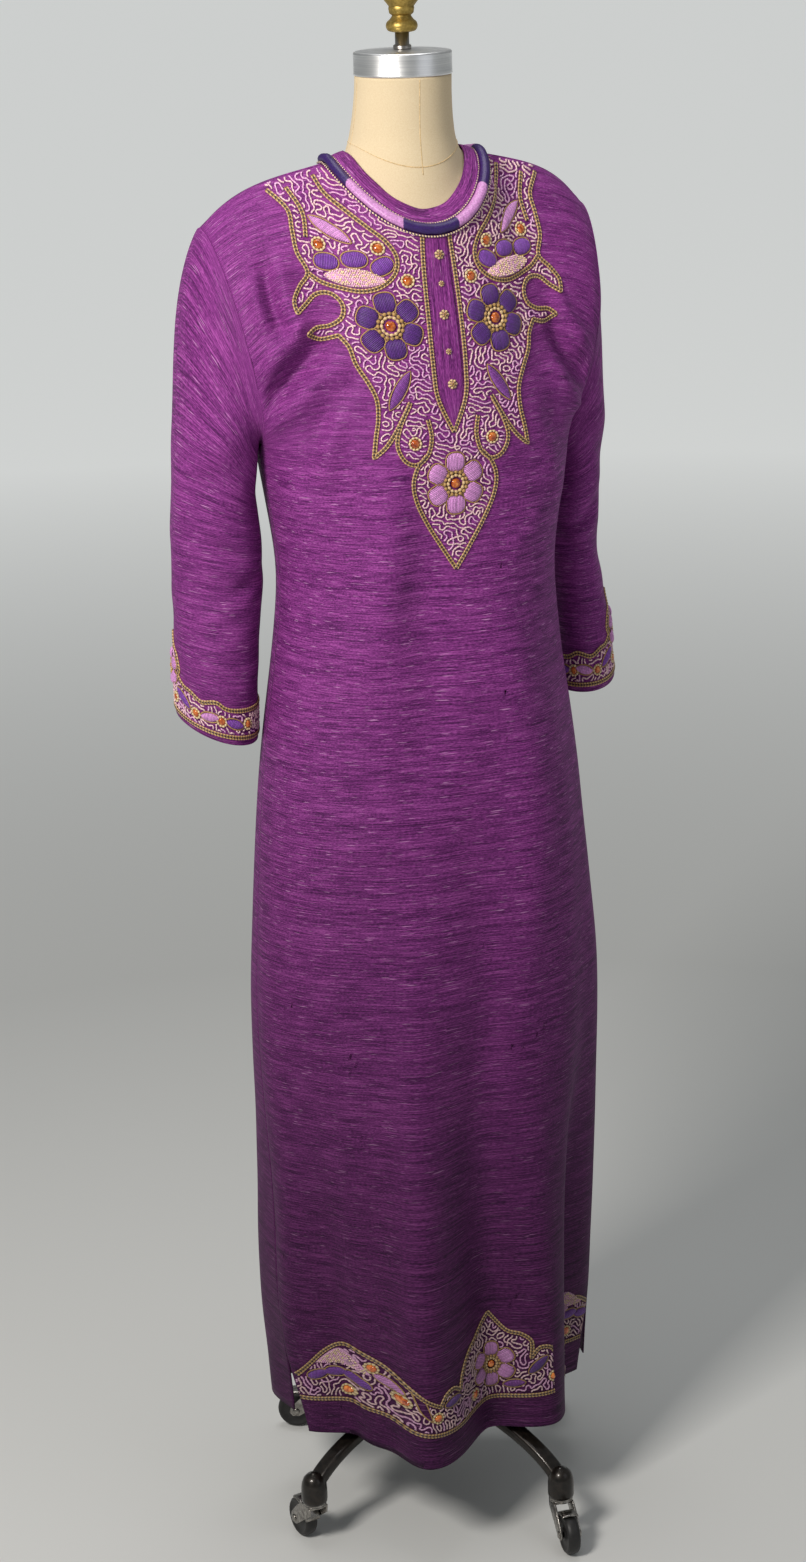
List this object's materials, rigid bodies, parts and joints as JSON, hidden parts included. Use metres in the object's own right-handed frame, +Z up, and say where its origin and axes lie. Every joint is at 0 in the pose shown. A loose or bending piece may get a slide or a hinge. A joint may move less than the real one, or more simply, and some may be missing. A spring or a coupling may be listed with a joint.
{
  "type": "silk kaftan on a limbless dress form with castered stand",
  "caption": "Long-sleeved slubbed silk kaftan with raised couched yoke, cuffs and hem, worn by a limbless dress form on a castered stand.",
  "frame": {"origin": "on the floor, under the middle of the part's bounding box", "axes": "+Z up, the front faces -Y, the wearer's left is +X"},
  "size_m": [0.5154, 0.4436, 1.7631],
  "materials": {
    "silk": "slubbed raw silk, soft sheen",
    "satin_roll": "satin ribbon wound round a cord",
    "knot_cord": "satin cord, knotted",
    "couching": "couched silk and metal thread over padding",
    "canvas": "plain canvas over padding",
    "aluminium": "brushed",
    "steel": "drawn rod",
    "brass": "dull gold paint on a turned knob",
    "iron": "black enamel",
    "tyre": "black rubber"
  },
  "bodies": {
    "root": {"front_panel": "silk", "back_panel": "silk", "neck_band": "silk", "neck_roll": "satin_roll", "sleeve_right": "silk", "sleeve_left": "silk", "cuff_embroidery_right": "couching", "cuff_embroidery_left": "couching", "yoke_embroidery": "couching", "hem_embroidery": "couching", "placket": "silk", "knot_button_1": "knot_cord", "knot_button_2": "knot_cord", "knot_button_3": "knot_cord", "knot_button_4": "knot_cord", "knot_button_5": "knot_cord", "form_torso": "canvas", "neck_cap": "aluminium", "finial_stub": "steel", "finial": "brass", "thumb_screw": "iron", "stand_pole": "iron", "base_casting": "iron"},
    "fork_1": {"caster_fork_1": "iron"},
    "fork_2": {"caster_fork_2": "iron"},
    "fork_3": {"caster_fork_3": "iron"},
    "fork_4": {"caster_fork_4": "iron"},
    "wheel_1": {"caster_wheel_1": "tyre"},
    "wheel_2": {"caster_wheel_2": "tyre"},
    "wheel_3": {"caster_wheel_3": "tyre"},
    "wheel_4": {"caster_wheel_4": "tyre"}
  },
  "joints": [
    {"name": "swivel_1", "type": "hinge", "parent": "root", "child": "fork_1", "pos_m": [0.1881, 0.09714, 0.05], "axis": [0, 0, 1], "continuous": true},
    {"name": "swivel_2", "type": "hinge", "parent": "root", "child": "fork_2", "pos_m": [-0.07769, 0.19388, 0.05], "axis": [0, 0, 1], "continuous": true},
    {"name": "swivel_3", "type": "hinge", "parent": "root", "child": "fork_3", "pos_m": [-0.17442, -0.0719, 0.05], "axis": [0, 0, 1], "continuous": true},
    {"name": "swivel_4", "type": "hinge", "parent": "root", "child": "fork_4", "pos_m": [0.09136, -0.16864, 0.05], "axis": [0, 0, 1], "continuous": true},
    {"name": "roll_1", "type": "hinge", "parent": "fork_1", "child": "wheel_1", "pos_m": [0.2031, 0.12312, 0.023], "axis": [-0.866, 0.5, 0], "continuous": true},
    {"name": "roll_2", "type": "hinge", "parent": "fork_2", "child": "wheel_2", "pos_m": [-0.10488, 0.20656, 0.023], "axis": [-0.4226, -0.9063, 0], "continuous": true},
    {"name": "roll_3", "type": "hinge", "parent": "fork_3", "child": "wheel_3", "pos_m": [-0.17963, -0.04236, 0.023], "axis": [-0.9848, -0.1736, 0], "continuous": true},
    {"name": "roll_4", "type": "hinge", "parent": "fork_4", "child": "wheel_4", "pos_m": [0.08875, -0.19853, 0.023], "axis": [0.9962, -0.0872, 0], "continuous": true}
  ]
}
